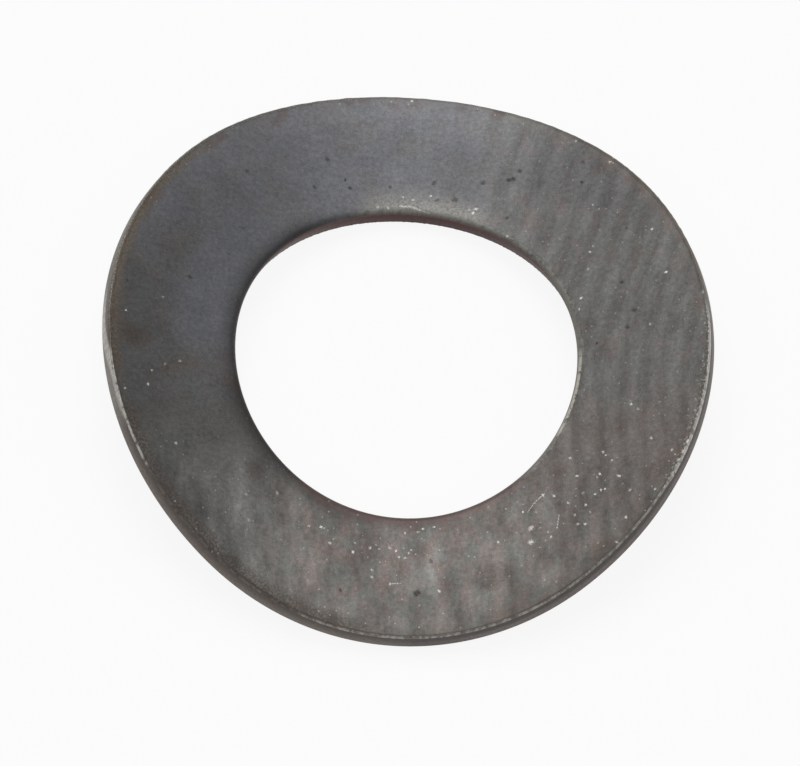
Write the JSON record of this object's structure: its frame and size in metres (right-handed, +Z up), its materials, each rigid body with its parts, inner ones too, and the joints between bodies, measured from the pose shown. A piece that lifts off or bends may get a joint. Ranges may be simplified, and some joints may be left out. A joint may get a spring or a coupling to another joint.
{
  "type": "curved spring washer",
  "caption": "Round spring steel washer, bent round one line so that two ends of its rim are raised. A bolt through its hole presses it flat, and it keeps the joint under load.",
  "frame": {"origin": "under the middle of the hole, at the surface that the washer lies on", "axes": "+X runs along the curve, towards one raised end; +Y runs along the line that the ring is bent round; +Z points up, out of the hollow side, along the axis of the hole"},
  "size_m": [0.0146, 0.015, 0.0022],
  "materials": {
    "spring_steel": "satin"
  },
  "bodies": {
    "root": {"washer": "spring_steel"}
  },
  "joints": []
}
